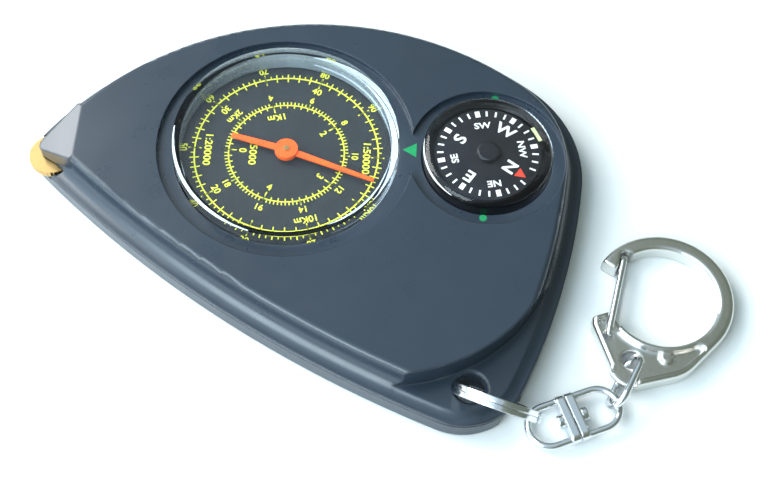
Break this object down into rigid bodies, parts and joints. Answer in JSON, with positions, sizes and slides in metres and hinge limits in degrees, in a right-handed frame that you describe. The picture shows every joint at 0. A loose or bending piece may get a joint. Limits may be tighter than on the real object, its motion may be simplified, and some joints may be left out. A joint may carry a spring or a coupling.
{
  "type": "opisometer map measurer",
  "caption": "Leaf-shaped pocket map measurer: tip wheel, geared dial pointer, liquid compass and snap clip on a swivel chain.",
  "frame": {"origin": "on the flat rear face, under the dial pointer's axis", "axes": "+X from the measuring wheel towards the compass, +Y away from the lanyard corner, +Z out of the dial"},
  "size_m": [0.1184, 0.0779, 0.0136],
  "materials": {
    "case_plastic": "matt moulded",
    "clear_window": "clear polished plastic",
    "dial_print": "matt black with yellow print",
    "pointer_paint": "satin orange",
    "steel": "fine ground",
    "brass": "plain machined",
    "compass_black": "gloss black",
    "card_print": "black with white print",
    "chrome": "polished"
  },
  "bodies": {
    "case": {"upper_shell": "case_plastic", "lower_shell": "case_plastic", "case_screws": "steel", "dial_crystal": "clear_window", "dial_plate": "dial_print", "gear_pins": "steel", "gear_bridge": "compass_black", "compass_base": "compass_black", "compass_dome": "clear_window", "compass_pivot": "steel"},
    "wheel": {"measuring_wheel": "steel", "wheel_axle": "steel", "wheel_pinion": "brass"},
    "first_gear": {"reduction_gear_1": "brass"},
    "second_gear": {"reduction_gear_2": "brass"},
    "pointer": {"pointer_hand": "pointer_paint", "pointer_arbor": "steel", "pointer_gear": "brass"},
    "card": {"compass_card": "card_print", "compass_magnet": "steel", "compass_jewel": "brass"},
    "ring": {"split_ring": "chrome"},
    "near_stirrup": {"swivel_stirrup_near": "chrome", "swivel_rivet": "chrome"},
    "far_stirrup": {"swivel_stirrup_far": "chrome"},
    "link": {"jump_ring": "chrome"},
    "clip": {"clip_body": "chrome"},
    "gate": {"clip_gate": "chrome"}
  },
  "joints": [
    {"name": "measuring_wheel_spin", "type": "hinge", "parent": "case", "child": "wheel", "pos_m": [-0.0396, -0.0015, 0.0037], "axis": [0, 0, 1], "continuous": true},
    {"name": "gear_1_spin", "type": "hinge", "parent": "case", "child": "first_gear", "pos_m": [-0.03091, 0.00083, 0.0033], "axis": [0, 0, 1], "continuous": true},
    {"name": "gear_2_spin", "type": "hinge", "parent": "case", "child": "second_gear", "pos_m": [-0.01591, 0.00043, 0.004], "axis": [0, 0, 1], "continuous": true},
    {"name": "pointer_spin", "type": "hinge", "parent": "case", "child": "pointer", "pos_m": [0, 0, 0.0046], "axis": [0, 0, 1], "continuous": true},
    {"name": "compass_card_turn", "type": "hinge", "parent": "case", "child": "card", "pos_m": [0.03366, 0, 0.0089], "axis": [0, 0, 1], "continuous": true},
    {"name": "split_ring_turn", "type": "hinge", "parent": "case", "child": "ring", "pos_m": [0.03602, -0.04375, 0.00682], "axis": [-0.2777, -0.8548, -0.4384], "range_deg": [-15, 150]},
    {"name": "near_stirrup_swing", "type": "hinge", "parent": "ring", "child": "near_stirrup", "pos_m": [0.04132, -0.04355, 0.00305], "axis": [0.5087, -0.518, 0.6877], "range_deg": [-60, 45]},
    {"name": "swivel_spin", "type": "hinge", "parent": "near_stirrup", "child": "far_stirrup", "pos_m": [0.0416, -0.046, 0.001], "axis": [0.922, 0.3819, 0.0633], "continuous": true},
    {"name": "link_swing", "type": "hinge", "parent": "far_stirrup", "child": "link", "pos_m": [0.05502, -0.03955, 0.00194], "axis": [-0.5944, 0.804, -0.0153], "range_deg": [-20, 40]},
    {"name": "clip_swing", "type": "hinge", "parent": "link", "child": "clip", "pos_m": [0.05774, -0.03267, 0.0013], "axis": [0, 0, 1], "range_deg": [-20, 10]},
    {"name": "gate_open", "type": "hinge", "parent": "clip", "child": "gate", "pos_m": [0.0542, -0.0286, 0.0016], "axis": [0, 0, -1], "range_deg": [0, 25], "stiffness_Nm_per_rad": 0.02, "springref_deg": -5.73}
  ],
  "couplings": [
    {"joint": "gear_1_spin", "follows": "measuring_wheel_spin", "ratio": -0.2},
    {"joint": "gear_2_spin", "follows": "measuring_wheel_spin", "ratio": 0.05},
    {"joint": "pointer_spin", "follows": "measuring_wheel_spin", "ratio": -0.025}
  ]
}
